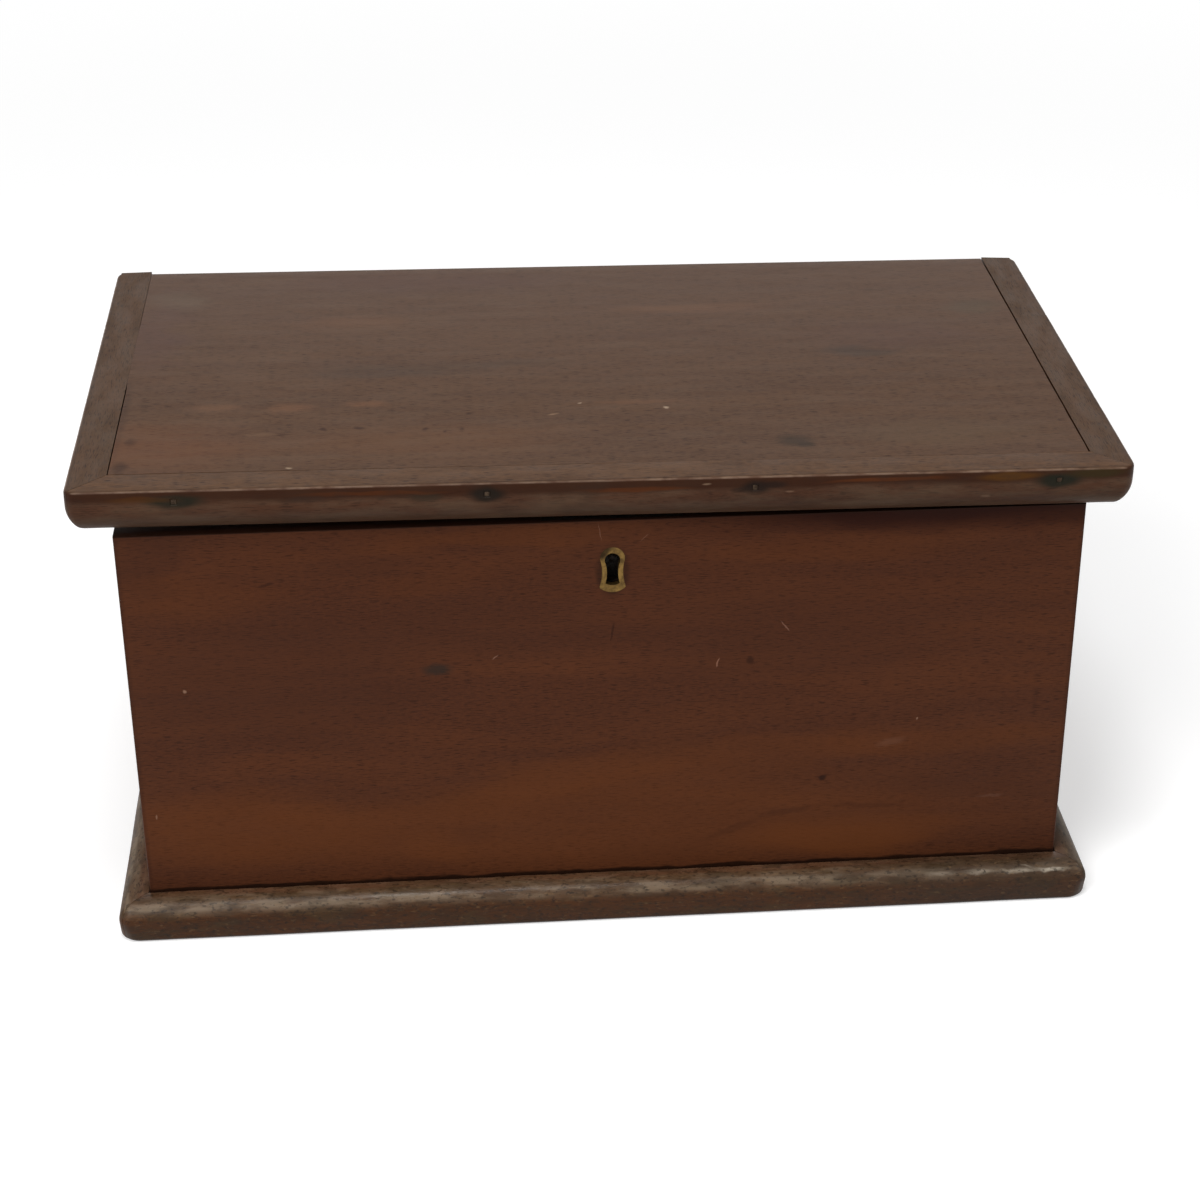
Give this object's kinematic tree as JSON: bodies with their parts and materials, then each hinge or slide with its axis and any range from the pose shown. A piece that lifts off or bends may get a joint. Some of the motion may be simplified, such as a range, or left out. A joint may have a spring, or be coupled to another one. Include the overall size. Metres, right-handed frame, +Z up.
{
  "type": "document box",
  "caption": "Rectangular wooden document box with a moulded base, a hinged lid framed by under-rounded mouldings, a brass keyhole escutcheon and a box lock.",
  "frame": {"origin": "middle of the carcass's footprint, on the surface that the box stands on", "axes": "+X to the right along the front, +Y to the back, +Z up"},
  "size_m": [0.46, 0.2655, 0.2295],
  "materials": {
    "carcass_wood": "old wax polish, red-brown mahogany",
    "lid_wood": "old wax polish, worn and dulled mahogany",
    "moulding_wood": "old wax polish, rubbed mahogany",
    "bottom_wood": "bare aged pine",
    "brass": "tarnished",
    "iron": "dark, rusted"
  },
  "bodies": {
    "carcass": {"front_board": "carcass_wood", "back_board": "carcass_wood", "left_side_board": "carcass_wood", "right_side_board": "carcass_wood", "bottom_board": "bottom_wood", "base_moulding_front": "moulding_wood", "base_moulding_left": "moulding_wood", "base_moulding_right": "moulding_wood", "escutcheon": "brass", "hinge_lower_leaf_left": "brass", "hinge_lower_leaf_right": "brass", "hinge_pin_left": "brass", "hinge_pin_right": "brass", "hinge_screws_lower": "brass", "bottom_nails": "iron", "lock_cover_plate": "iron", "lock_case": "iron", "lock_drill_pin": "iron", "lock_spring": "iron", "lock_screws": "iron"},
    "lid": {"lid_panel": "lid_wood", "lid_moulding_front": "lid_wood", "lid_moulding_left": "lid_wood", "lid_moulding_right": "lid_wood", "lid_front_nails": "iron", "lid_side_nails": "iron", "hinge_upper_leaf_left": "brass", "hinge_upper_leaf_right": "brass", "hinge_screws_upper": "brass", "link_plate": "iron", "link_plate_screws": "iron"},
    "lock_bolt": {"lock_bolt": "iron"}
  },
  "joints": [
    {"name": "lid_hinge", "type": "hinge", "parent": "carcass", "child": "lid", "pos_m": [0, 0.1258, 0.20321], "axis": [-1, 0, 0], "range_deg": [0, 180]},
    {"name": "bolt_slide", "type": "slide", "parent": "carcass", "child": "lock_bolt", "axis": [1, 0, 0], "range_m": [0, 0.005]}
  ]
}
